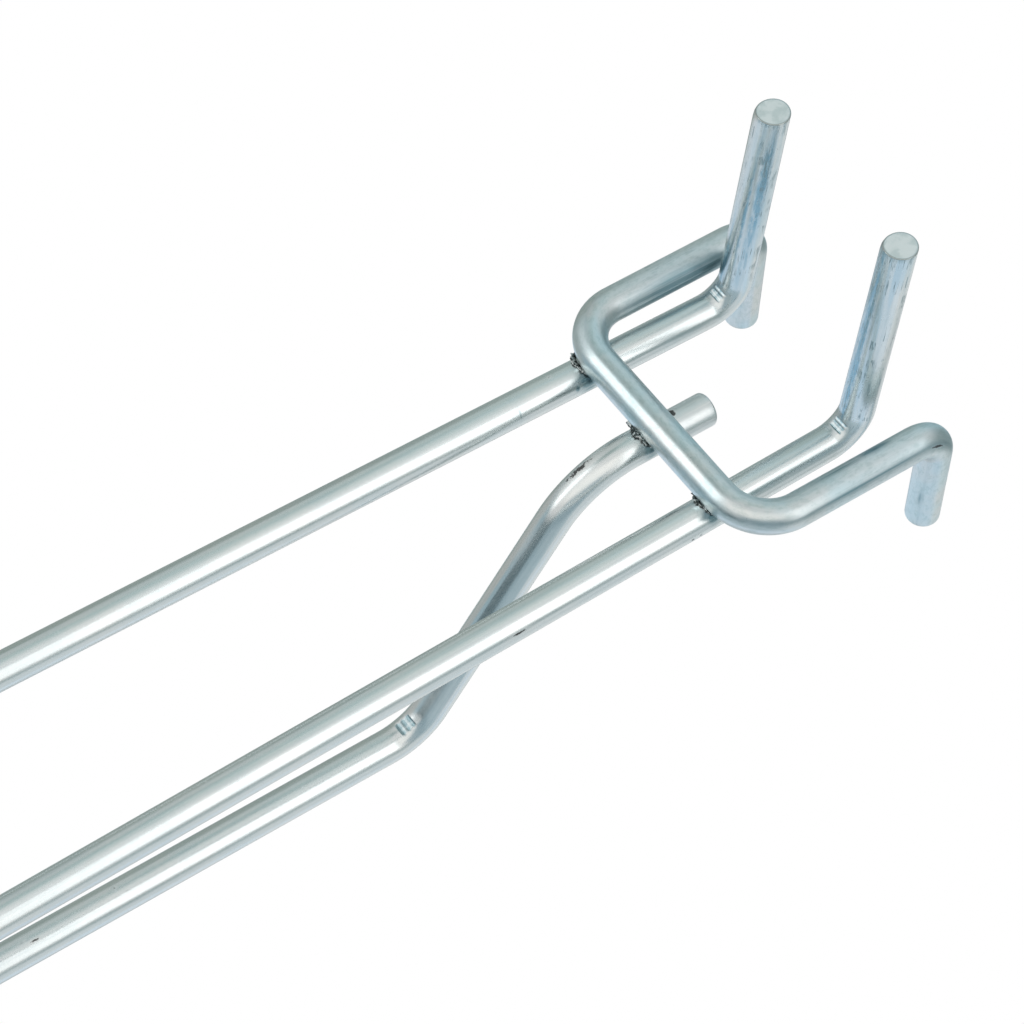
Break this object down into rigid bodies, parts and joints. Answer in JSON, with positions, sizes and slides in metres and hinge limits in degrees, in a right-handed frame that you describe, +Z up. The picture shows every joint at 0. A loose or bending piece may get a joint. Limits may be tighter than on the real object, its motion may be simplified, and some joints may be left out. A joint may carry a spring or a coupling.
{
  "type": "pegboard hook",
  "caption": "Bright zinc-plated wire hook that hangs in a pegboard by upturned pegs, with long prongs joined by a raised front loop and an overarm welded above them.",
  "frame": {"origin": "On the board's front face, midway between the two peg holes, at the height of their centres.", "axes": "+Z up as the hook hangs, +Y into the board, +X across it; the prongs reach out along -Y."},
  "size_m": [0.056, 0.2112, 0.1035],
  "materials": {
    "zinc_wire": "bright zinc plate with a pale blue passivate, satin, with fine draw lines"
  },
  "bodies": {
    "root": {"prong_wire": "zinc_wire", "back_bracket": "zinc_wire", "overarm_wire": "zinc_wire"}
  },
  "joints": []
}
